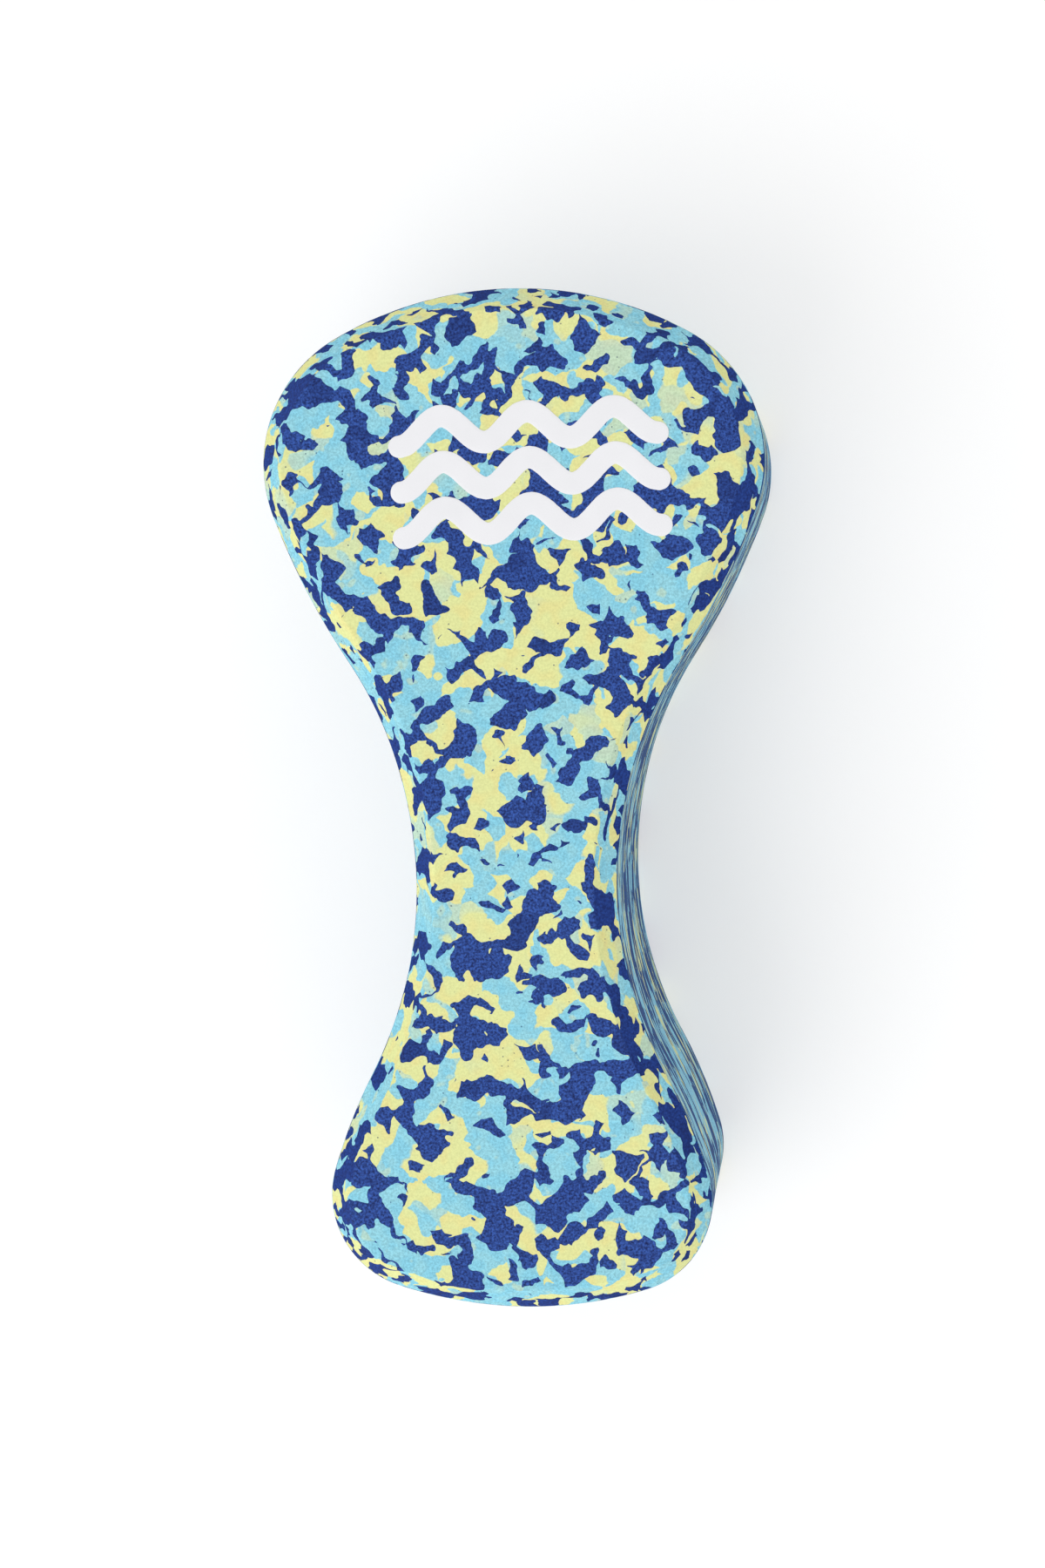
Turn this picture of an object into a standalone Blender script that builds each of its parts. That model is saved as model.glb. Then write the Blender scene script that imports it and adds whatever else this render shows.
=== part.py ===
"""Pull buoy: a swimmer's leg float of marbled EVA foam, with a broad lobe, a narrow waist and a small lobe.

It lies on its back face. X is the width, Y the length towards the broad lobe, and Z the thickness. The origin
is the centre of the back face. Three foam slabs are bonded face to face by two adhesive films, and a mark of
three waves is printed in white ink on the broad lobe's front face.
"""

import math

import bmesh
import bpy

# Driving dimensions, in metres.
LENGTH = 0.250
THICKNESS = 0.080
CHAMFER = 0.0055
FILM_THICKNESS = 0.0003
FILM_SETBACK = 0.0015
INK_THICKNESS = 0.00015
GAP = 0.0003

# Half the outline, from the middle of the broad end, down the +X side, towards the narrow end: tangent arcs,
# each as a radius and the angle it turns through in degrees. The thighs' recess turns the other way. One more
# arc closes the narrow end.
BROAD_END = (0.0889, 29.2)
BROAD_SHOULDER = (0.0351, 81.9)
BROAD_FLANK = (0.1915, 11.8)
THIGH_RECESS = (0.1011, -60.8)
NARROW_FLANK = (0.1345, 10.9)
NARROW_SHOULDER = (0.0237, 88.9)
OUTLINE_ARCS = (BROAD_END, BROAD_SHOULDER, BROAD_FLANK, THIGH_RECESS, NARROW_FLANK, NARROW_SHOULDER)
FLATNESS = 0.00003  # the most that a chord may leave its arc

# The printed mark: bold sine strokes, one above the other. It sits a little aside of the axis and is slightly
# tilted, as a hand-placed transfer is.
WAVE_COUNT = 3
WAVE_WIDTH = 0.0625
WAVE_PERIODS = 3
WAVE_HEIGHT = 0.0034  # half the rise from trough to crest
WAVE_STROKE = 0.0054
WAVE_PITCH = 0.011
WAVE_STEPS = 16  # chords in a period
MARK_BELOW_BROAD_END = 0.0445  # from the broad end to the mark's middle
MARK_ASIDE = 0.005
MARK_TILT = 2.0  # degrees

SLAB_COUNT = 3
BOND = FILM_THICKNESS + 2 * GAP  # from one slab to the next
SLAB_THICKNESS = (THICKNESS - (SLAB_COUNT - 1) * BOND) / SLAB_COUNT

WELD = 0.00001  # corners nearer to each other than this become one


def clear_scene():
    for scene_object in list(bpy.data.objects):
        bpy.data.objects.remove(scene_object, do_unlink=True)


def new_material(name, colour, roughness):
    material = bpy.data.materials.new(name)
    material.use_nodes = True
    shader = material.node_tree.nodes["Principled BSDF"]
    shader.inputs["Base Color"].default_value = (*colour, 1.0)
    shader.inputs["Roughness"].default_value = roughness
    shader.inputs["Metallic"].default_value = 0.0
    material.diffuse_color = (*colour, 1.0)
    return material


def arc_points(start, heading, radius, turn):
    """Points after start along an arc that turns clockwise, or anticlockwise where turn is negative."""
    step = 2 * math.acos(1 - FLATNESS / radius)
    count = math.ceil(abs(turn) / step)
    side = math.copysign(radius, turn)
    centre_x = start[0] + side * math.sin(heading)
    centre_y = start[1] - side * math.cos(heading)
    points = []
    for index in range(1, count + 1):
        angle = heading - turn * index / count
        points.append((centre_x - side * math.sin(angle), centre_y + side * math.cos(angle)))
    return points


def half_outline():
    """The +X side from the broad end's middle to the narrow end's middle, both on the axis."""
    points = [(0.0, 0.0)]
    heading = 0.0
    for radius, degrees in OUTLINE_ARCS:
        turn = math.radians(degrees)
        points += arc_points(points[-1], heading, radius, turn)
        heading -= turn
    turn = math.pi + heading
    radius = points[-1][0] / math.sin(turn)
    points += arc_points(points[-1], heading, radius, turn)
    return points


def outline():
    """The whole outline, LENGTH long and centred on the origin."""
    side = half_outline()
    walked = -side[-1][1]
    scale = LENGTH / walked
    side = [(scale * x, scale * (y + walked / 2)) for x, y in side]
    other_side = [(-x, y) for x, y in reversed(side[1:-1])]
    return side + other_side


def wave_outline():
    """One stroke of the mark, centred on the origin: a sine line of even width with round ends."""
    steps = WAVE_STEPS * WAVE_PERIODS
    wave_number = 2 * math.pi * WAVE_PERIODS / WAVE_WIDTH
    upper = []
    lower = []
    for index in range(steps + 1):
        x = WAVE_WIDTH * (index / steps - 0.5)
        y = WAVE_HEIGHT * math.cos(wave_number * x)
        slope = math.atan(-WAVE_HEIGHT * wave_number * math.sin(wave_number * x))
        across = (-math.sin(slope) * WAVE_STROKE / 2, math.cos(slope) * WAVE_STROKE / 2)
        upper.append((x + across[0], y + across[1]))
        lower.append((x - across[0], y - across[1]))
    end_x = WAVE_WIDTH / 2
    end_y = WAVE_HEIGHT * math.cos(wave_number * end_x)
    cap_radius = WAVE_STROKE / 2
    cap_steps = WAVE_STEPS // 2
    right_cap = []
    for index in range(1, cap_steps):
        angle = math.pi / 2 - math.pi * index / cap_steps
        right_cap.append((end_x + cap_radius * math.cos(angle), end_y + cap_radius * math.sin(angle)))
    left_cap = [(-x, y) for x, y in reversed(right_cap)]
    return upper + right_cap + lower[::-1] + left_cap


def inset_outline(points, distance):
    """The outline moved inwards, each point along its normal. The points run clockwise."""
    moved = []
    for index, (x, y) in enumerate(points):
        before = points[index - 1]
        after = points[(index + 1) % len(points)]
        along_x, along_y = after[0] - before[0], after[1] - before[1]
        length = math.hypot(along_x, along_y)
        moved.append((x + distance * along_y / length, y - distance * along_x / length))
    return moved


def extruded(name, points, bottom, top, collection, place=(0.0, 0.0), tilt=0.0):
    """A closed prism on an outline, from the height bottom to the height top, as a mesh object."""
    curve = bpy.data.curves.new(name + "_outline", "CURVE")
    curve.dimensions = "2D"
    curve.fill_mode = "BOTH"
    curve.extrude = (top - bottom) / 2
    spline = curve.splines.new("POLY")
    spline.points.add(len(points) - 1)
    for spline_point, (x, y) in zip(spline.points, points):
        spline_point.co = (x, y, 0.0, 1.0)
    spline.use_cyclic_u = True
    guide = bpy.data.objects.new(name + "_guide", curve)
    guide.location = (*place, (top + bottom) / 2)
    guide.rotation_euler.z = tilt
    collection.objects.link(guide)
    bpy.context.view_layer.update()
    mesh = bpy.data.meshes.new_from_object(guide.evaluated_get(bpy.context.evaluated_depsgraph_get()))
    mesh.name = name
    close_prism(mesh)
    prism = bpy.data.objects.new(name, mesh)
    prism.matrix_world = guide.matrix_world.copy()
    bpy.data.objects.remove(guide)
    bpy.data.curves.remove(curve)
    collection.objects.link(prism)
    return prism


def close_prism(mesh):
    """Welds the caps to the wall and makes each cap one face."""
    work = bmesh.new()
    work.from_mesh(mesh)
    bmesh.ops.remove_doubles(work, verts=work.verts, dist=WELD)
    caps = [face for face in work.faces if abs(face.normal.z) > 0.5]
    inner_edges = [edge for edge in work.edges if all(face in caps for face in edge.link_faces)]
    bmesh.ops.dissolve_edges(work, edges=inner_edges, use_verts=False)
    bmesh.ops.recalc_face_normals(work, faces=work.faces)
    work.to_mesh(mesh)
    work.free()


def chamfer_rim(prism, top_rim):
    """A flat 45 degree chamfer round the prism's top rim, or round its bottom rim."""
    mesh = prism.data
    weights = mesh.attributes.new("bevel_weight_edge", "FLOAT", "EDGE")
    for edge in mesh.edges:
        heights = [mesh.vertices[index].co.z for index in edge.vertices]
        on_rim = min(heights) > 0 if top_rim else max(heights) < 0
        weights.data[edge.index].value = 1.0 if on_rim else 0.0
    bevel = prism.modifiers.new("rim_chamfer", "BEVEL")
    bevel.limit_method = "WEIGHT"
    bevel.offset_type = "OFFSET"
    bevel.width = CHAMFER
    bevel.segments = 1
    bevel.use_clamp_overlap = False


def finish(solid, material, sharp_angle=30.0):
    solid.data.materials.clear()
    solid.data.materials.append(material)
    solid.data.shade_smooth()
    solid.data.set_sharp_from_angle(angle=math.radians(sharp_angle))


def build_slabs(collection, material):
    """The foam slabs, from the back face up. The outer two carry the chamfers."""
    points = outline()
    names = ("back_slab", "core_slab", "front_slab")
    for index, name in enumerate(names):
        bottom = index * (SLAB_THICKNESS + BOND)
        slab = extruded(name, points, bottom, bottom + SLAB_THICKNESS, collection)
        if name != "core_slab":
            chamfer_rim(slab, top_rim=(name == "front_slab"))
        finish(slab, material)


def build_films(collection, material):
    """The adhesive films between the slabs, set back from the wall."""
    points = inset_outline(outline(), FILM_SETBACK)
    for index, name in enumerate(("back_adhesive_film", "front_adhesive_film")):
        bottom = (index + 1) * SLAB_THICKNESS + index * BOND + GAP
        film = extruded(name, points, bottom, bottom + FILM_THICKNESS, collection)
        finish(film, material)


def build_mark(collection, material):
    """The printed waves, each patch of ink lying on the front face."""
    points = wave_outline()
    middle = LENGTH / 2 - MARK_BELOW_BROAD_END
    tilt = math.radians(MARK_TILT)
    bottom = THICKNESS + GAP
    for index in range(WAVE_COUNT):
        up = WAVE_PITCH * ((WAVE_COUNT - 1) / 2 - index)
        place = (MARK_ASIDE - up * math.sin(tilt), middle + up * math.cos(tilt))
        name = f"printed_wave_{index + 1}"
        ink = extruded(name, points, bottom, bottom + INK_THICKNESS, collection, place, tilt)
        finish(ink, material)


def main():
    clear_scene()
    collection = bpy.data.collections.new("pull_buoy")
    bpy.context.scene.collection.children.link(collection)
    foam = new_material("marbled_foam", (0.35, 0.53, 0.56), 0.85)
    glue = new_material("adhesive_film", (0.80, 0.78, 0.66), 0.50)
    ink = new_material("white_ink", (0.86, 0.86, 0.85), 0.60)
    build_slabs(collection, foam)
    build_films(collection, glue)
    build_mark(collection, ink)


main()
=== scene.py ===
"""Looks of a pull buoy: slabs of marbled EVA foam bonded into one float, with three printed waves.

The float lies on its back. Each CAD solid is replaced by a finer piece of the same size: foam slabs with
rounded folds, a flat pressed skin and a sawn wall, thin adhesive films in the seams, and ink that follows the
foam.
"""

import math

import bmesh
import bpy
import numpy as np
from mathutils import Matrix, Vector, kdtree, noise
from mathutils.geometry import delaunay_2d_cdt


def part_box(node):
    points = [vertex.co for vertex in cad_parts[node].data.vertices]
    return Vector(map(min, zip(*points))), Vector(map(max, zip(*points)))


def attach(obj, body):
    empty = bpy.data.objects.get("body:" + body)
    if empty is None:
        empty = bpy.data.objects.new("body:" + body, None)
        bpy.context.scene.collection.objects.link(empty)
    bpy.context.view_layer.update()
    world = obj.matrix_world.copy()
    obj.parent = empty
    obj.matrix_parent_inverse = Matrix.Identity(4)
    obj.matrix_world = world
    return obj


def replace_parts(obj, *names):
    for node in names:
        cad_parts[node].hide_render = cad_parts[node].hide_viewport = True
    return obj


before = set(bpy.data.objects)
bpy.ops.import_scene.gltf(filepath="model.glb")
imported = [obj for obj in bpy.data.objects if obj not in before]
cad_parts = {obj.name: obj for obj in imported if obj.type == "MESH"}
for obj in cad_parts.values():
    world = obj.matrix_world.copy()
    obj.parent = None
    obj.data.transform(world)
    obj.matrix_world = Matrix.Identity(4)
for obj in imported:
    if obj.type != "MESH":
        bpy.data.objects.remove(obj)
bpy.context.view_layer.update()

MM = 0.001
WELD = 0.02 * MM

# What the frame says.
WAVES = ("printed_wave_1", "printed_wave_2", "printed_wave_3")
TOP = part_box("front_slab")[1].z

# Meshes of the slabs and films. Each step is an edge's usual length.
RIM_STEP = 1.1 * MM
WALL_STEP = 0.42 * MM
FACE_STEP = 1.3 * MM
HIDDEN_STEP = 6.0 * MM
ARC_TURN = 9.0  # the most degrees that one chord of a rounded corner turns through
RIM_MARGIN = 0.66  # how far a cap's inner points keep from its rim, in steps
CAP_EPSILON = 1e-9
WALL_CORNER = 0.55 * MM  # radius where the wall meets the chamfer
FOLD_RADIUS = 0.6 * MM  # radius where the chamfer meets the flat face
SEAM_LIP = 0.22 * MM
FILM_DEPTH = 0.26 * MM  # how far the film stays inside the wall
FILM_HALF = 0.11 * MM
FILM_EDGE = 0.6 * FILM_HALF
SEAM_CLEARANCE = 0.01 * MM
SMOOTH_BELOW = 50.0  # an edge is shaded smooth where it turns through fewer degrees

# Unevenness of the foam: depths, the sizes of their features, and seeds. It only goes inwards, so the float
# keeps its size.
SKIN_SWELL, SKIN_SWELL_SIZE, SKIN_SWELL_SEED = 0.16 * MM, 24.0 * MM, 3.1
SKIN_CHIP, SKIN_CHIP_SIZE, SKIN_CHIP_SEED = 0.07 * MM, 5.5 * MM, 8.7
WALL_SWELL, WALL_SWELL_SIZE, WALL_SWELL_SEED = 0.20 * MM, 30.0 * MM, 5.3
STRATA, STRATA_LENGTH, STRATA_HEIGHT, STRATA_SEED = 0.07 * MM, 17.0 * MM, 1.3 * MM, 1.9
DIP_GAIN = 0.7  # stretches the noise to fill its range

# Ink.
INK_STEP = 0.35 * MM
INK_HEIGHT = 0.13 * MM
INK_SHOULDER = 0.10 * MM
INK_FRAY, INK_FRAY_SIZE, INK_FRAY_SEED = 0.06 * MM, 0.8 * MM, 4.2
INK_SUNK = -0.3  # the underside, as a share of the height
INK_PROFILE = ((0.0, INK_SUNK), (0.0, 0.3), (0.35, 0.85), (1.0, 1.0))  # shares of the shoulder and height

# Camera, floor and light.
CAMERA_PLACE = (77.0 * MM, 47.4 * MM, 706.5 * MM)
CAMERA_TURN = (-3.905, 6.737, -0.722)  # degrees about X, Y and Z
CAMERA_LENS = 59.94
CAMERA_SENSOR = 36.0
CAMERA_CLIP = 0.01
FLOOR_HALF = 4.0
FLOOR_GLOW = 0.4  # a light table, so that the shadows stay pale
HORIZON_GLOW = 0.97  # as white as the far floor, so that the two run into each other
SKY_GLOW = 0.85
SKY_EVEN_ABOVE = 0.5  # the sine of the angle above the horizon at which the sky stops darkening
KEY_TOWARD = (-0.51, -0.51, 0.69)
KEY_DISTANCE = 2.0
KEY_SIZE = 2.0
KEY_ENERGY = 17.4


def linear(red, green, blue):
    """Scene-linear colour of an 8-bit sRGB one."""
    shares = [channel / 255 for channel in (red, green, blue)]
    return tuple(share / 12.92 if share <= 0.04045 else ((share + 0.055) / 1.055) ** 2.4 for share in shares)


# --------------------------------------------------------------------------------------------------
# Outlines


def cad_outline(name):
    """The corners of a prism node's top face, in order, anticlockwise."""
    work = bmesh.new()
    work.from_mesh(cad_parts[name].data)
    bmesh.ops.remove_doubles(work, verts=work.verts, dist=WELD)
    work.normal_update()
    others = [face for face in work.faces if face.normal.z < 0.5]
    bmesh.ops.delete(work, geom=others, context="FACES")
    first = next(vert for vert in work.verts if vert.is_boundary)
    corners, before, here = [], None, first
    while here is not first or before is None:
        corners.append((here.co.x, here.co.y))
        around = [edge.other_vert(here) for edge in here.link_edges if edge.is_boundary]
        step = around[0] if around[0] is not before else around[1]
        before, here = here, step
    work.free()
    corners = np.array(corners)
    after = np.roll(corners, -1, axis=0)
    area = (corners[:, 0] * after[:, 1] - after[:, 0] * corners[:, 1]).sum()
    return corners if area > 0 else corners[::-1]


def even_outline(corners, step):
    """Evenly spaced points of the smooth closed curve through the corners."""
    closed = np.vstack([corners, corners[:1]])
    place = np.concatenate([[0], np.cumsum(np.linalg.norm(np.diff(closed, axis=0), axis=1))])
    gaps = np.diff(place)
    reach = np.roll(corners, -1, axis=0) - np.roll(corners, 1, axis=0)
    slopes = reach / (gaps + np.roll(gaps, 1))[:, None]
    wanted = np.linspace(0, place[-1], math.ceil(place[-1] / step), endpoint=False)
    start = np.clip(np.searchsorted(place, wanted, side="right") - 1, 0, len(corners) - 1)
    end = (start + 1) % len(corners)
    gap = gaps[start][:, None]
    share = (wanted - place[start])[:, None] / gap
    points = (2 * share**3 - 3 * share**2 + 1) * corners[start]
    points += (3 * share**2 - 2 * share**3) * corners[end]
    points += (share**3 - 2 * share**2 + share) * gap * slopes[start]
    points += (share**3 - share**2) * gap * slopes[end]
    return points


def outward(points):
    """The outward unit normal at each point of an anticlockwise outline."""
    along = np.roll(points, -1, axis=0) - np.roll(points, 1, axis=0)
    along /= np.linalg.norm(along, axis=1)[:, None]
    return np.column_stack([along[:, 1], -along[:, 0]])


# --------------------------------------------------------------------------------------------------
# Unevenness


def dip(x, y, z, size, seed):
    """From 0 to 1 at a place, with features of the given size."""
    value = noise.noise((x / size + seed, y / size, z / size))
    return min(max(0.5 + DIP_GAIN * value, 0.0), 1.0)


def skin_depth(x, y, z):
    """How far a pressed face sinks at a place: wide swells, and the finer relief of single chips."""
    swell = SKIN_SWELL * dip(x, y, z, SKIN_SWELL_SIZE, SKIN_SWELL_SEED)
    return swell + SKIN_CHIP * dip(x, y, z, SKIN_CHIP_SIZE, SKIN_CHIP_SEED)


def wall_depth(x, y, z):
    """How far the sawn wall sinks at a place: wide swells, and long low strata."""
    swell = WALL_SWELL * dip(x, y, z, WALL_SWELL_SIZE, WALL_SWELL_SEED)
    layered = z * STRATA_LENGTH / STRATA_HEIGHT
    return swell + STRATA * dip(x, y, layered, STRATA_LENGTH, STRATA_SEED)


def foam_depth(x, y, z, upright):
    """How far the foam's surface lies inside its nominal place; upright is 1 on a face and 0 on the wall."""
    return upright**2 * skin_depth(x, y, z) + (1 - upright**2) * wall_depth(x, y, z)


def no_depth(x, y, z, upright):
    """For a cap that is flat."""
    return 0.0


def ink_depth(x, y, z, upright):
    """The skin's depth under the ink, whatever the height of the ink's own surface."""
    return skin_depth(x, y, TOP)


def ink_underside_depth(x, y, z, upright):
    """The same for a surface that faces down, where a depth of this sign lowers it."""
    return -skin_depth(x, y, TOP)


# --------------------------------------------------------------------------------------------------
# Meshes


def rounded_profile(corners, step):
    """Points (inset, height) along straight runs between corners, which are (inset, height, radius)."""
    path = [np.array(corners[0][:2])]
    for (*before, _), (*here, radius), (*after, _) in zip(corners, corners[1:], corners[2:]):
        here = np.array(here)
        coming = here - before
        going = after - here
        coming = coming / np.linalg.norm(coming)
        going = going / np.linalg.norm(going)
        turn = abs(math.atan2(coming[0] * going[1] - coming[1] * going[0], coming @ going))
        reach = radius * math.tan(turn / 2)
        arcs = max(2, math.ceil(math.degrees(turn) / ARC_TURN))
        for share in (part / arcs for part in range(arcs + 1)):
            bow = (1 - share) ** 2 * (here - coming * reach) + share**2 * (here + going * reach)
            path.append(bow + 2 * share * (1 - share) * here)
    path.append(np.array(corners[-1][:2]))
    fine = [path[0]]
    for before, after in zip(path, path[1:]):
        parts = max(1, math.ceil(np.linalg.norm(after - before) / step))
        fine += [before + (after - before) * part / parts for part in range(1, parts + 1)]
    return np.array(fine)


def fill_points(rim, step):
    """An even triangular grid of points inside the rim, none nearer to it than the margin."""
    tree = kdtree.KDTree(len(rim))
    for index, (x, y) in enumerate(rim):
        tree.insert((x, y, 0.0), index)
    tree.balance()
    normals = outward(rim)
    low, high = rim.min(axis=0), rim.max(axis=0)
    row_gap = step * math.sqrt(3) / 2
    points = []
    for row in range(int((high[1] - low[1]) / row_gap) + 1):
        y = low[1] + row * row_gap
        start = low[0] + step * (0.5 if row % 2 else 0.0)
        for x in np.arange(start, high[0], step):
            _, index, _ = tree.find((x, y, 0.0))
            if (np.array((x, y)) - rim[index]) @ normals[index] < -RIM_MARGIN * step:
                points.append((x, y))
    return points


def cap(work, ring, height, step, side, depth):
    """Closes a ring of vertices with even triangles. side is 1 for a top and -1 for a bottom."""
    rim = np.array([vert.co.xy for vert in ring])
    flat = [Vector(point) for point in rim] + [Vector(point) for point in fill_points(rim, step)]
    edges = [(index, (index + 1) % len(ring)) for index in range(len(ring))]
    places, _, triangles, origins, _, _ = delaunay_2d_cdt(flat, edges, [], 1, CAP_EPSILON)
    verts = []
    for place, origin in zip(places, origins):
        on_rim = [index for index in origin if index < len(ring)]
        if on_rim:
            verts.append(ring[on_rim[0]])
        else:
            lowered = height - side * depth(place.x, place.y, height, 1.0)
            verts.append(work.verts.new((place.x, place.y, lowered)))
    for triangle in triangles:
        face = work.faces.new([verts[index] for index in triangle])
        face.normal_update()
        if face.normal.z * side < 0:
            face.normal_flip()


def bridge(work, rings):
    """Quads between each ring of vertices and the next one up."""
    for lower, upper in zip(rings, rings[1:]):
        for index in range(len(lower)):
            beside = (index + 1) % len(lower)
            work.faces.new((lower[index], lower[beside], upper[beside], upper[index]))


def turned_solid(outline, profile, bottom, top):
    """A closed solid whose wall is the outline, inset and raised along the profile.

    bottom and top are each (step, depth): the triangles' size on that cap, and its unevenness. A bonded cap
    is flat, and its rim only follows the wall's unevenness sideways.
    """
    work = bmesh.new()
    normals = outward(outline)
    along = np.gradient(profile, axis=0)
    along /= np.linalg.norm(along, axis=1)[:, None]
    ends = {0: bottom, len(profile) - 1: top}
    rings = []
    for index, ((inset, height), (inwards, upwards)) in enumerate(zip(profile, along)):
        bonded = index in ends and ends[index][1] is no_depth
        upright = abs(inwards) if not bonded else 0.0
        side_share = abs(upwards) if not bonded else 1.0
        level_share = math.copysign(upright, height - profile[:, 1].mean())
        ring = []
        for (x, y), (out_x, out_y) in zip(outline - normals * inset, normals):
            depth = foam_depth(x, y, height, upright)
            sideways = depth * side_share
            place = (x - out_x * sideways, y - out_y * sideways, height - depth * level_share)
            ring.append(work.verts.new(place))
        rings.append(ring)
    bridge(work, rings)
    cap(work, rings[0], profile[0][1], bottom[0], -1, bottom[1])
    cap(work, rings[-1], profile[-1][1], top[0], 1, top[1])
    return work


def made_piece(name, work, material):
    """The mesh as a piece that rides on the part's one body."""
    mesh = bpy.data.meshes.new(name)
    work.to_mesh(mesh)
    work.free()
    mesh.shade_smooth()
    mesh.set_sharp_from_angle(angle=math.radians(SMOOTH_BELOW))
    mesh.materials.append(material)
    piece = bpy.data.objects.new(name, mesh)
    bpy.context.scene.collection.objects.link(piece)
    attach(piece, "root")
    return piece


def seam_heights():
    """The middle of each adhesive film, from the back."""
    boxes = [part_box(name) for name in ("back_adhesive_film", "front_adhesive_film")]
    return [(low.z + high.z) / 2 for low, high in boxes]


def chamfer_height():
    """The drop from the front face to the top of the wall, from the front slab's corners."""
    heights = sorted({round(vert.co.z, 5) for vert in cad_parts["front_slab"].data.vertices})
    return heights[-1] - heights[-2]


def build_slabs(foam):
    """The back, core and front slabs, each with its own profile on the one outline."""
    outline = even_outline(cad_outline("core_slab"), RIM_STEP)
    chamfer = chamfer_height()
    seams = seam_heights()
    bond = FILM_HALF + SEAM_CLEARANCE
    floor_end = [(FOLD_RADIUS + chamfer, 0.0, 0.0), (chamfer, 0.0, FOLD_RADIUS), (0.0, chamfer, WALL_CORNER)]
    open_end = [(inset, TOP - height, radius) for inset, height, radius in reversed(floor_end)]
    bonds = [seams[0] - bond, seams[0] + bond, seams[1] - bond, seams[1] + bond]
    below = [[(0.0, height, SEAM_LIP), (SEAM_LIP, height, 0.0)] for height in bonds]
    above = [[(SEAM_LIP, height, 0.0), (0.0, height, SEAM_LIP)] for height in bonds]
    bonded, skin = (HIDDEN_STEP, no_depth), (FACE_STEP, foam_depth)
    plans = {
        "back_slab": (floor_end + below[0], skin, bonded),
        "core_slab": (above[1] + below[2], bonded, bonded),
        "front_slab": (above[3] + open_end, bonded, skin),
    }
    for name, (corners, bottom, top) in plans.items():
        work = turned_solid(outline, rounded_profile(corners, WALL_STEP), bottom, top)
        piece = made_piece("marbled_" + name, work, foam)
        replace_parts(piece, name)


def build_films(glue):
    """The adhesive films, a little inside the wall, so that they show as fine lines in the seams."""
    outline = even_outline(cad_outline("core_slab"), RIM_STEP)
    for name, middle in zip(("back_adhesive_film", "front_adhesive_film"), seam_heights()):
        low, high = middle - FILM_HALF, middle + FILM_HALF
        corners = [
            (FILM_DEPTH + 2 * FILM_EDGE, low, 0.0),
            (FILM_DEPTH, low, FILM_EDGE),
            (FILM_DEPTH, high, FILM_EDGE),
            (FILM_DEPTH + 2 * FILM_EDGE, high, 0.0),
        ]
        flat = (HIDDEN_STEP, no_depth)
        work = turned_solid(outline, rounded_profile(corners, WALL_STEP), flat, flat)
        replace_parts(made_piece("glue_line_" + name.split("_")[0], work, glue), name)


def build_ink(ink):
    """Each wave is a thin layer with rounded shoulders that follows the front face's unevenness."""
    for name in WAVES:
        outline = even_outline(cad_outline(name), INK_STEP)
        normals = outward(outline)
        places = outline / INK_FRAY_SIZE
        fray = [INK_FRAY * noise.noise((x, y, INK_FRAY_SEED)) for x, y in places]
        outline = outline + normals * np.array(fray)[:, None]
        work = bmesh.new()
        rings = []
        for inset, lift in INK_PROFILE:
            ring = []
            for x, y in outline - normals * inset * INK_SHOULDER:
                ring.append(work.verts.new((x, y, TOP - skin_depth(x, y, TOP) + lift * INK_HEIGHT)))
            rings.append(ring)
        bridge(work, rings)
        cap(work, rings[0], TOP + INK_SUNK * INK_HEIGHT, 3 * INK_STEP, -1, ink_underside_depth)
        cap(work, rings[-1], TOP + INK_HEIGHT, 2 * INK_STEP, 1, ink_depth)
        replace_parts(made_piece("white_" + name, work, ink), name)


# --------------------------------------------------------------------------------------------------
# Materials


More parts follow.
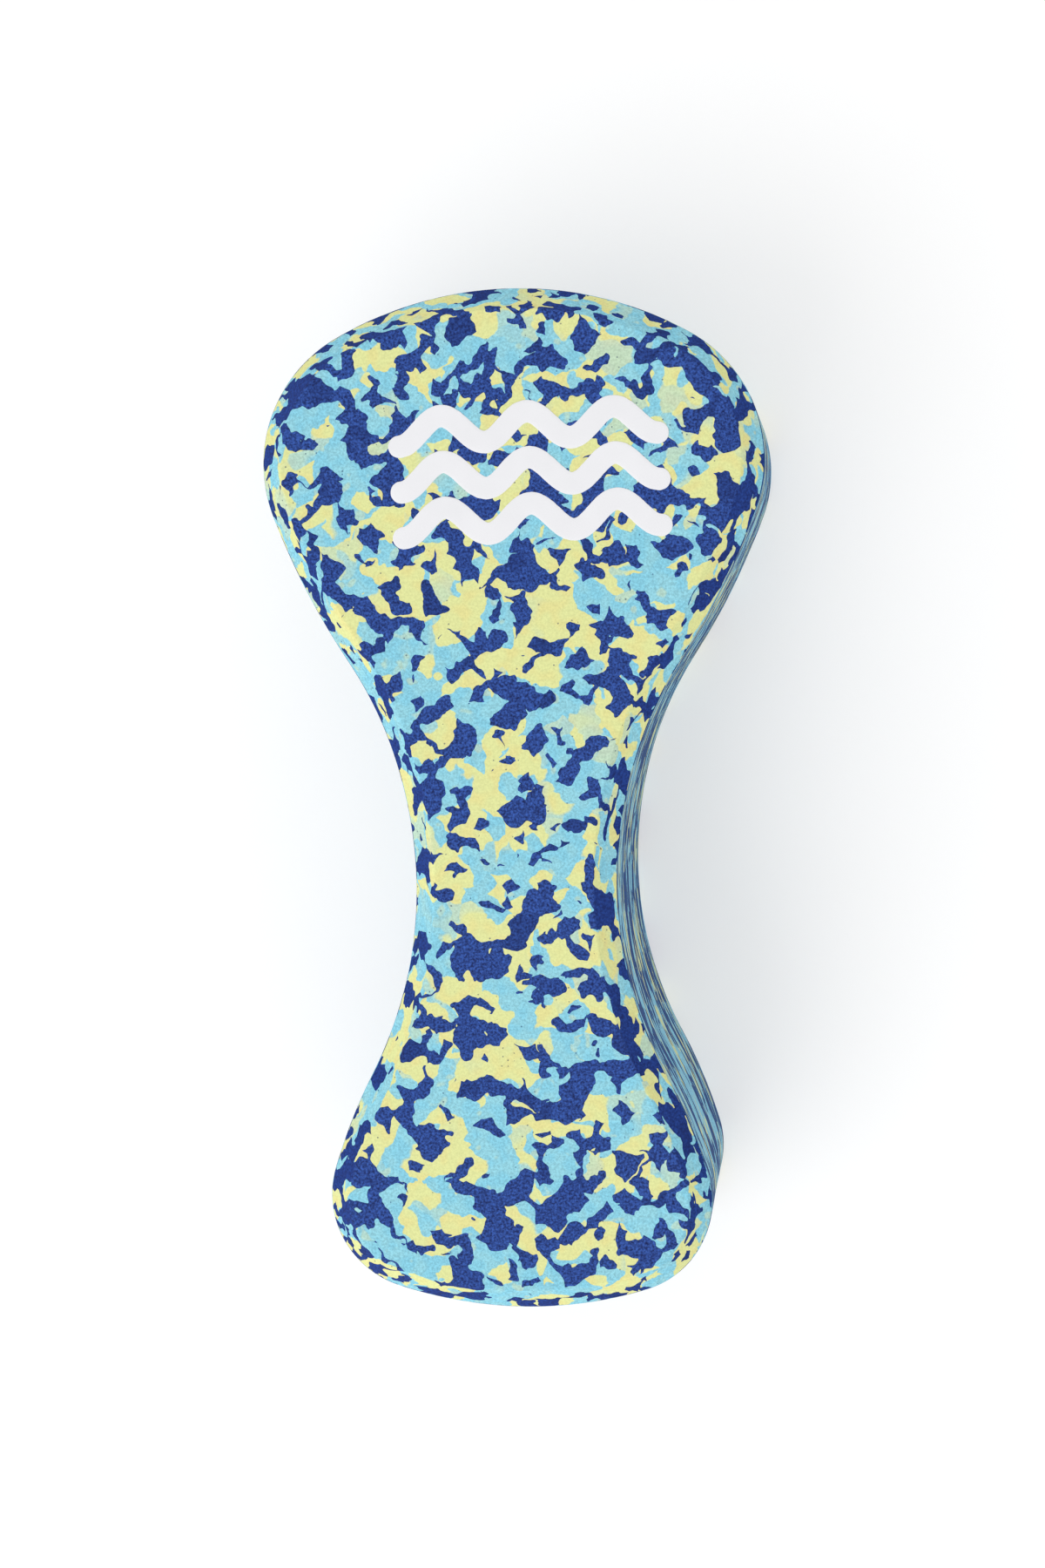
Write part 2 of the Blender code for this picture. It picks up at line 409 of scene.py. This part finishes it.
class Graph:
    """Short calls that add nodes to a material and link them.

    A value may be a number, a tuple or a socket.
    """

    def __init__(self, name):
        self.material = bpy.data.materials.new(name)
        self.material.use_nodes = True
        self.tree = self.material.node_tree
        self.shader = self.tree.nodes["Principled BSDF"]
        coordinates = self.node("ShaderNodeTexCoord").outputs
        self.place = self.vector("SCALE", coordinates["Object"], scale=1 / MM)  # in millimetres
        self.normal = coordinates["Normal"]

    def put(self, socket, value):
        if isinstance(value, bpy.types.NodeSocket):
            self.tree.links.new(value, socket)
        elif socket.type == "RGBA":
            socket.default_value = (*value, 1.0)
        else:
            socket.default_value = value

    def node(self, kind, **settings):
        node = self.tree.nodes.new(kind)
        for name, value in settings.items():
            setattr(node, name, value)
        return node

    def math(self, operation, first, second=0.0, clamp=False):
        node = self.node("ShaderNodeMath", operation=operation, use_clamp=clamp)
        self.put(node.inputs[0], first)
        self.put(node.inputs[1], second)
        return node.outputs[0]

    def vector(self, operation, first, second=None, scale=None):
        node = self.node("ShaderNodeVectorMath", operation=operation)
        self.put(node.inputs[0], first)
        if second is not None:
            self.put(node.inputs[1], second)
        if scale is not None:
            self.put(node.inputs["Scale"], scale)
        return node.outputs[0]

    def shift(self, place, offset):
        return self.vector("ADD", place, offset)

    def split(self, value, kind="ShaderNodeSeparateXYZ"):
        node = self.node(kind)
        self.put(node.inputs[0], value)
        return node.outputs

    def join(self, x, y, z):
        node = self.node("ShaderNodeCombineXYZ")
        for socket, value in zip(node.inputs, (x, y, z)):
            self.put(socket, value)
        return node.outputs[0]

    def noise(self, place, size, detail=0.0, rough=0.5, output="Fac"):
        node = self.node("ShaderNodeTexNoise")
        self.put(node.inputs["Vector"], place)
        node.inputs["Scale"].default_value = 1 / size
        node.inputs["Detail"].default_value = detail
        node.inputs["Roughness"].default_value = rough
        return node.outputs[output]

    def cells(self, place, size):
        """The distance to the nearest cell's point, and a random number for that cell."""
        node = self.node("ShaderNodeTexVoronoi")
        self.put(node.inputs["Vector"], place)
        node.inputs["Scale"].default_value = 1 / size
        return node.outputs["Distance"], self.split(node.outputs["Color"], "ShaderNodeSeparateColor")[0]

    def mix(self, share, first, second, kind="FLOAT"):
        node = self.node("ShaderNodeMix", data_type=kind)
        low, high = {"FLOAT": (2, 3), "VECTOR": (4, 5), "RGBA": (6, 7)}[kind]
        self.put(node.inputs[0], share)
        self.put(node.inputs[low], first)
        self.put(node.inputs[high], second)
        return node.outputs[{"FLOAT": 0, "VECTOR": 1, "RGBA": 2}[kind]]

    def blend(self, share, first, second):
        return self.mix(share, first, second, "RGBA")

    def ramp(self, value, low, high, bottom=0.0, top=1.0):
        """A smooth step of the value from low to high, given as bottom to top."""
        node = self.node("ShaderNodeMapRange", interpolation_type="SMOOTHSTEP")
        for socket, number in zip(node.inputs, (value, low, high, bottom, top)):
            self.put(socket, number)
        return node.outputs[0]

    def smooth_cells(self, place, size):
        """A random number for each cell of a flat pattern, blended a little across the cells' edges."""
        node = self.node("ShaderNodeTexVoronoi", voronoi_dimensions="2D", feature="SMOOTH_F1")
        self.put(node.inputs["Vector"], place)
        node.inputs["Scale"].default_value = 1 / size
        node.inputs["Smoothness"].default_value = CHIP_SMOOTHNESS
        return self.split(node.outputs["Color"], "ShaderNodeSeparateColor")[0]

    def warp(self, place, size, detail, rough, amount):
        """The place moved about by up to half the amount."""
        bent = self.noise(place, size, detail, rough, "Color")
        offset = self.vector("SUBTRACT", bent, (0.5, 0.5, 0.5))
        return self.vector("ADD", place, self.vector("SCALE", offset, scale=amount))

    def band(self, value, middle, half_width):
        """1 where the value is within half_width of the middle."""
        node = self.node("ShaderNodeMath", operation="COMPARE")
        for socket, number in zip(node.inputs, (value, middle, half_width)):
            self.put(socket, number)
        return node.outputs[0]

    def bump(self, height, distance, strength=1.0):
        node = self.node("ShaderNodeBump")
        node.inputs["Strength"].default_value = strength
        node.inputs["Distance"].default_value = distance
        self.put(node.inputs["Height"], height)
        return node.outputs[0]


# What each colour reflects; the light makes them a little brighter. The chamfers' navy and the wall's colours
# are also darkened as painted shade, the wall's partly as the sawn foam's own duller tone.
NAVY_DEEP = linear(0, 16, 76)
NAVY_LIGHT = linear(56, 91, 171)
# Painted shade: a darker navy blended into the navy chips on the chamfers.
SHADED_CHAMFER_NAVY = linear(0, 38, 114)
PALE_BLUE = linear(141, 201, 215)
CLEAR_BLUE = linear(130, 197, 217)
YELLOW = linear(217, 221, 153)
WARM_YELLOW = linear(223, 212, 140)
CHIP_OUTLINE = linear(12, 34, 94)
# The wall's colours: muted as the sawn foam is, and darker still as painted shade.
SHADED_WALL_NAVY = linear(0, 32, 82)
SHADED_WALL_NAVY_LIGHT = linear(0, 75, 141)
SHADED_WALL_BLUE = linear(121, 180, 203)
SHADED_WALL_YELLOW = linear(190, 200, 152)
GLUE_DARK = linear(150, 158, 140)
GLUE_LIGHT = linear(176, 180, 158)
INK_DARK = linear(226, 226, 229)
INK_LIGHT = linear(232, 232, 235)
FLOOR_DARK = linear(205, 205, 205)
FLOOR_LIGHT = linear(209, 209, 209)
WHITE = (1.0, 1.0, 1.0, 1.0)

# Where the foam's chips lie. Sizes are in texture millimetres.
CHAMFER_SLIDE = 1.85  # texture millimetres outwards for each millimetre of depth
CHAMFER_START = (0.1, 0.5)  # the depths between which the chamfer's colours set in
WALL_STRETCH = (0.45, 0.60, 1.8)  # texture millimetres for each millimetre along X, Y and Z
WALL_SQUEEZE = 1.4  # the same along Z, added towards the two pressed faces
WALL_MARGIN = 0.1  # how far the wall's pattern reaches past its ends, in millimetres
FACE_OFFSET = 470.0  # keeps the two faces' patterns apart

# The foam's chips.
NAVY_CHIPS = (6.5, 3.2)  # the sizes of large and small ones
YELLOW_CHIPS = (10.4, 5.6)
CHIP_SMOOTHNESS = 0.25
CHIP_EDGES = (5.0, 2.2, 0.4, 6.5)  # size, detail, roughness and amount of the bends in their edges
PATCH_SIZE, PATCH_EDGE = 9.0, (0.49, 0.51)  # patches of large chips and of small ones
# On the wall, the larger navy share and the higher yellow level darken it, partly as painted shade.
NAVY_SHARE, SHADED_WALL_NAVY_SHARE = 0.403, 0.525  # a chip is navy when its number is below this
OUTLINE_SHARE = 0.05
YELLOW_LEVEL, SHADED_WALL_YELLOW_LEVEL = 0.558, 0.655  # a chip is yellow when its number is above this
SOFT_SIZE, SOFT_RANGE, SOFT_EDGE, SOFT_SKEW = 7.0, (0.3, 0.7), (0.01, 0.14), 0.01
CLOUD_SIZE, CLOUD_DETAIL, CLOUD_RANGE, CLOUD_MOST = 4.0, 1.0, (0.65, 0.73), 0.35
SEAM_WIDTH = 0.12

# The foam's fine detail.
GRAIN = (0.6, 2.0, 0.65)  # size, detail and roughness
GRAIN_RANGE, GRAIN_WIDE_RANGE = (0.25, 0.75), (0.2, 0.8)
GRAIN_ON_BLUE, GRAIN_ON_YELLOW, GRAIN_ON_NAVY = 0.2, 0.085, 0.16
TINT_SIZE, BLUE_TINT_RANGE = 3.5, (0.35, 0.65)
YELLOW_TINT_RANGE, YELLOW_TINT_MOST = (0.4, 0.75), 0.6
SPECK_SPACING, SPECK_RADIUS = 1.5, 0.15
SPECK_CHANCE = (0.92, 0.6)  # a speck's cell needs a number above the first, or above the second near a seam
# The first number is how far the navy chips on the chamfers are darkened, as painted shade.
CHAMFER_SHADE_SHARE, OUTLINE_STRENGTH, SPECK_STRENGTH = 0.6, 0.4, 0.6
FOAM_ROUGHNESS, FOAM_SPECULAR = (0.62, 0.82), 0.18
FOAM_BUMP, FOAM_BUMP_STRENGTH = 0.12 * MM, 0.5
GRAIN_RELIEF, RIM_RELIEF = 0.5, 0.4  # how far the grain rises, and how far a navy chip's edge sinks

# The other materials. Clouds, grains and patches are a size, a detail and sometimes a roughness.
MIDDLE_RANGE = (0.3, 0.7)  # where most of a noise's values lie
GLUE_CLOUD, GLUE_ROUGHNESS, GLUE_BUMP = (3.0, 2.0), (0.28, 0.5), 0.05 * MM
INK_GRAIN, INK_PATCH, INK_ROUGHNESS = (0.3, 2.0, 0.6), (7.0, 1.0), (0.45, 0.6)
INK_BUMP, INK_BUMP_STRENGTH = 0.05 * MM, 0.4
FLOOR_CLOUD, FLOOR_ROUGHNESS, FLOOR_SPECULAR = (90.0, 3.0), 0.9, 0.1

# Offsets that keep the foam's noises apart.
SMALL_CHIPS_AT = (31, 17, 0)
PATCHES_AT = (12, 40, 7)
YELLOW_CHIPS_AT = (50, 0, 0)
SOFT_EDGES_AT = (9, 9, 60)
CLOUDS_AT = (70, 8, 3)
TINT_AT = (5, 80, 3)


def foam_place(g):
    """Flat texture coordinates in millimetres, 1 on the sawn wall, and 1 on the chamfers.

    The chips are pressed flat. The faces show them from above, the chamfers cut them at a slant, which
    narrows them across the rim, and the wall shows them edge on, as long thin streaks.
    """
    x, y, z = g.split(g.place)
    out_x, out_y, _ = g.split(g.normal)
    middle = TOP / MM / 2
    wall_half = middle - chamfer_height() / MM
    from_middle = g.math("SUBTRACT", z, middle)
    on_wall = g.math("LESS_THAN", g.math("ABSOLUTE", from_middle), wall_half + WALL_MARGIN)
    depth = g.math("SUBTRACT", middle, g.math("ABSOLUTE", from_middle))
    slide = g.math("MULTIPLY", depth, CHAMFER_SLIDE)
    face_x = g.math("ADD", x, g.math("MULTIPLY", g.math("SIGN", from_middle), FACE_OFFSET))
    face_x = g.math("ADD", face_x, g.math("MULTIPLY", out_x, slide))
    face_y = g.math("ADD", y, g.math("MULTIPLY", out_y, slide))
    by_x, by_y, by_z = WALL_STRETCH
    along = g.math("ADD", g.math("MULTIPLY", x, by_x), g.math("MULTIPLY", y, by_y))
    cubed = g.math("POWER", g.math("DIVIDE", from_middle, wall_half), 3.0)
    squeezed = g.math("MULTIPLY", cubed, WALL_SQUEEZE * wall_half / 3)
    across = g.math("SUBTRACT", g.math("MULTIPLY", x, by_y), g.math("MULTIPLY", y, by_x))
    wall = g.join(along, g.math("ADD", g.math("MULTIPLY", z, by_z), squeezed), across)
    on_chamfer = g.math("SUBTRACT", g.ramp(depth, *CHAMFER_START), on_wall, clamp=True)
    return g.mix(on_wall, g.join(face_x, face_y, 0.0), wall, "VECTOR"), on_wall, on_chamfer


def chip_value(g, place, large, small):
    """A number from 0 to 1 for each chip, smooth across its edge: large chips here, small ones there."""
    whole = g.smooth_cells(place, large)
    broken = g.smooth_cells(g.shift(place, SMALL_CHIPS_AT), small)
    return g.mix(g.ramp(g.noise(g.shift(place, PATCHES_AT), PATCH_SIZE), *PATCH_EDGE), whole, broken)


def dark_chips(g, place, on_wall):
    """1 on navy chips, and 1 in the thin darker outline just inside each."""
    value = chip_value(g, g.warp(place, *CHIP_EDGES), *NAVY_CHIPS)
    # More navy chips on the wall, partly as painted shade.
    share = g.mix(on_wall, NAVY_SHARE, SHADED_WALL_NAVY_SHARE)
    navy = g.math("LESS_THAN", value, share)
    near_edge = g.math("GREATER_THAN", value, g.math("SUBTRACT", share, OUTLINE_SHARE))
    return navy, g.math("MULTIPLY", navy, near_edge)


def yellow_chips(g, place, on_wall):
    """1 on yellow chips, whose edges are softer in some places than in others, and 1 near those edges.

    Some pale blue chips are clouded with yellow.
    """
    value = chip_value(g, g.warp(g.shift(place, YELLOW_CHIPS_AT), *CHIP_EDGES), *YELLOW_CHIPS)
    soft = g.ramp(g.noise(g.shift(place, SOFT_EDGES_AT), SOFT_SIZE), *SOFT_RANGE, *SOFT_EDGE)
    # Fewer yellow chips on the wall, partly as painted shade.
    level = g.mix(on_wall, YELLOW_LEVEL, SHADED_WALL_YELLOW_LEVEL)
    low = g.math("SUBTRACT", level, soft)
    high = g.math("ADD", g.math("ADD", level, soft), SOFT_SKEW)
    mist = g.noise(g.shift(place, CLOUDS_AT), CLOUD_SIZE, CLOUD_DETAIL)
    cloud = g.ramp(mist, *CLOUD_RANGE, 0.0, CLOUD_MOST)
    return g.math("MAXIMUM", g.ramp(value, low, high), cloud), g.band(value, YELLOW_LEVEL, SEAM_WIDTH)


def specks(g, seam):
    """1 on small dark specks, which are commoner near the seams between yellow and blue."""
    distance, chance = g.cells(g.place, SPECK_SPACING)
    dot = g.math("LESS_THAN", distance, SPECK_RADIUS)
    rare = g.ramp(seam, 0.0, 1.0, *SPECK_CHANCE)
    return g.math("MULTIPLY", dot, g.math("GREATER_THAN", chance, rare))


def pale_colour(g, place, on_wall, yellow):
    """The colour of the blue and the yellow chips, each a little uneven, and darker on the wall, partly as
    painted shade.
    """
    tint = g.noise(g.shift(place, TINT_AT), TINT_SIZE)
    pale_blue = g.blend(g.ramp(tint, *BLUE_TINT_RANGE), PALE_BLUE, CLEAR_BLUE)
    pale_blue = g.blend(on_wall, pale_blue, SHADED_WALL_BLUE)
    pale_yellow = g.blend(g.ramp(tint, *YELLOW_TINT_RANGE, 0.0, YELLOW_TINT_MOST), YELLOW, WARM_YELLOW)
    return g.blend(yellow, pale_blue, g.blend(on_wall, pale_yellow, SHADED_WALL_YELLOW))


def navy_colour(g, grain, on_wall, on_chamfer):
    """The colour of the navy chips, speckled by their grain, with painted shade: darker on the chamfers, and
    in part darker on the wall.
    """
    spread = g.ramp(grain, *GRAIN_WIDE_RANGE)
    deep = g.blend(spread, NAVY_DEEP, NAVY_LIGHT)
    # Painted shade: darker navy on the chamfers.
    deep = g.blend(g.math("MULTIPLY", on_chamfer, CHAMFER_SHADE_SHARE), deep, SHADED_CHAMFER_NAVY)
    # Painted shade, in part: the wall's darker navy.
    return g.blend(on_wall, deep, g.blend(spread, SHADED_WALL_NAVY, SHADED_WALL_NAVY_LIGHT))


def foam_material():
    g = Graph("marbled_foam")
    place, on_wall, on_chamfer = foam_place(g)
    navy, rim = dark_chips(g, place, on_wall)
    yellow, seam = yellow_chips(g, place, on_wall)
    grain = g.noise(g.place, *GRAIN)

    pale = pale_colour(g, place, on_wall, yellow)
    colour = g.blend(navy, pale, navy_colour(g, grain, on_wall, on_chamfer))
    colour = g.blend(g.math("MULTIPLY", rim, OUTLINE_STRENGTH), colour, CHIP_OUTLINE)
    colour = g.blend(g.math("MULTIPLY", specks(g, seam), SPECK_STRENGTH), colour, CHIP_OUTLINE)
    contrast = g.mix(navy, g.mix(yellow, GRAIN_ON_BLUE, GRAIN_ON_YELLOW), GRAIN_ON_NAVY)
    shade = g.math("MULTIPLY", g.ramp(grain, *GRAIN_RANGE, -1.0, 1.0), contrast)
    colour = g.vector("SCALE", colour, scale=g.math("ADD", shade, 1.0))

    g.put(g.shader.inputs["Base Color"], colour)
    g.put(g.shader.inputs["Roughness"], g.ramp(grain, *GRAIN_RANGE, *FOAM_ROUGHNESS))
    g.shader.inputs["Specular IOR Level"].default_value = FOAM_SPECULAR
    relief = g.math("SUBTRACT", g.math("MULTIPLY", grain, GRAIN_RELIEF), g.math("MULTIPLY", rim, RIM_RELIEF))
    g.put(g.shader.inputs["Normal"], g.bump(relief, FOAM_BUMP, FOAM_BUMP_STRENGTH))
    return g.material


def glue_material():
    g = Graph("clear_adhesive")
    cloud = g.noise(g.place, *GLUE_CLOUD)
    g.put(g.shader.inputs["Base Color"], g.blend(cloud, GLUE_DARK, GLUE_LIGHT))
    g.put(g.shader.inputs["Roughness"], g.ramp(cloud, *MIDDLE_RANGE, *GLUE_ROUGHNESS))
    g.put(g.shader.inputs["Normal"], g.bump(cloud, GLUE_BUMP))
    return g.material


def ink_material():
    g = Graph("white_ink")
    grain = g.noise(g.place, *INK_GRAIN)
    patch = g.noise(g.place, *INK_PATCH)
    g.put(g.shader.inputs["Base Color"], g.blend(patch, INK_DARK, INK_LIGHT))
    g.put(g.shader.inputs["Roughness"], g.ramp(grain, *MIDDLE_RANGE, *INK_ROUGHNESS))
    g.put(g.shader.inputs["Normal"], g.bump(grain, INK_BUMP, INK_BUMP_STRENGTH))
    return g.material


def floor_material():
    g = Graph("studio_floor")
    cloud = g.noise(g.place, *FLOOR_CLOUD)
    g.put(g.shader.inputs["Base Color"], g.blend(cloud, FLOOR_DARK, FLOOR_LIGHT))
    g.shader.inputs["Emission Color"].default_value = WHITE
    g.shader.inputs["Emission Strength"].default_value = FLOOR_GLOW
    g.shader.inputs["Roughness"].default_value = FLOOR_ROUGHNESS
    g.shader.inputs["Specular IOR Level"].default_value = FLOOR_SPECULAR
    return g.material


# --------------------------------------------------------------------------------------------------
# Studio


def build_camera():
    data = bpy.data.cameras.new("camera")
    data.lens = CAMERA_LENS
    data.sensor_width = CAMERA_SENSOR
    data.clip_start = CAMERA_CLIP
    camera = bpy.data.objects.new("camera", data)
    camera.location = CAMERA_PLACE
    camera.rotation_euler = [math.radians(angle) for angle in CAMERA_TURN]
    bpy.context.scene.collection.objects.link(camera)
    bpy.context.scene.camera = camera
    bpy.context.scene.view_settings.view_transform = "Standard"


def build_floor():
    mesh = bpy.data.meshes.new("floor")
    corners = [(FLOOR_HALF * x, FLOOR_HALF * y, 0.0) for x, y in ((-1, -1), (1, -1), (1, 1), (-1, 1))]
    mesh.from_pydata(corners, [], [(0, 1, 2, 3)])
    mesh.materials.append(floor_material())
    floor = bpy.data.objects.new("floor", mesh)
    bpy.context.scene.collection.objects.link(floor)


def build_sky():
    """A white world, a little darker overhead than at the horizon."""
    world = bpy.data.worlds.new("studio")
    bpy.context.scene.world = world
    world.use_nodes = True
    nodes, links = world.node_tree.nodes, world.node_tree.links
    height = nodes.new("ShaderNodeSeparateXYZ")
    fade = nodes.new("ShaderNodeMapRange")
    fade.inputs["From Max"].default_value = SKY_EVEN_ABOVE
    fade.inputs["To Min"].default_value = HORIZON_GLOW
    fade.inputs["To Max"].default_value = SKY_GLOW
    links.new(nodes.new("ShaderNodeTexCoord").outputs["Generated"], height.inputs[0])
    links.new(height.outputs["Z"], fade.inputs["Value"])
    links.new(fade.outputs[0], nodes["Background"].inputs["Strength"])
    nodes["Background"].inputs["Color"].default_value = WHITE


def build_key():
    """One large soft lamp, high beside the small lobe on the -X side."""
    data = bpy.data.lights.new("key", "AREA")
    data.shape = "DISK"
    data.size = KEY_SIZE
    data.energy = KEY_ENERGY
    key = bpy.data.objects.new("key", data)
    toward = Vector(KEY_TOWARD).normalized()
    key.location = toward * KEY_DISTANCE
    key.rotation_euler = toward.to_track_quat("Z", "Y").to_euler()
    bpy.context.scene.collection.objects.link(key)


build_camera()
build_floor()
build_sky()
build_key()
build_slabs(foam_material())
build_films(glue_material())
build_ink(ink_material())
